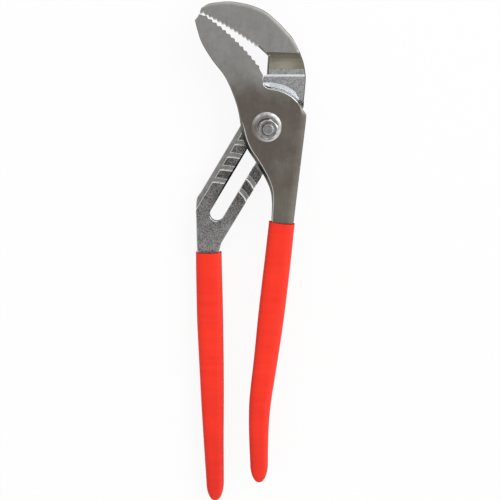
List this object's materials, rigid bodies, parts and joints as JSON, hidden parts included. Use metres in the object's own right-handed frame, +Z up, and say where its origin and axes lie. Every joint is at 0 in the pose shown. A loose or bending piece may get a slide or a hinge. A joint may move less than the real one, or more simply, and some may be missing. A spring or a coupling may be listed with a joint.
{
  "type": "water pump pliers",
  "caption": "Long-handled tongue-and-groove pliers with toothed jaws, a slotted rear arm, a sliding bolt pivot and red dipped grips.",
  "frame": {"origin": "where the bolt's axis meets the flat underside of the bolt head, on the surface that the pliers lie on", "axes": "+Y along the tool from the handles to the jaws, +Z up along the bolt from its head to the nut, +X across"},
  "size_m": [0.0887, 0.4074, 0.0399],
  "materials": {
    "forged_steel": "forged and blasted, dark and speckled, with ground jaw faces",
    "polished_steel": "ground and polished, slightly brown",
    "zinc_plate": "bright zinc plate",
    "dipped_grip": "dipped soft PVC, satin"
  },
  "bodies": {
    "rear_arm": {"rear_arm": "forged_steel", "rear_grip": "dipped_grip"},
    "pivot": {"pivot_bolt": "zinc_plate", "flat_washer": "zinc_plate", "lock_washer": "zinc_plate", "hex_nut": "zinc_plate"},
    "front_arm": {"front_arm": "polished_steel", "front_grip": "dipped_grip"}
  },
  "joints": [
    {"name": "pivot_slide", "type": "slide", "parent": "rear_arm", "child": "pivot", "axis": [-0.515, -0.8572, 0], "range_m": [0, 0.0702]},
    {"name": "pivot_turn", "type": "hinge", "parent": "pivot", "child": "front_arm", "pos_m": [0, 0, 0], "axis": [0, 0, 1], "range_deg": [0, 65]}
  ]
}
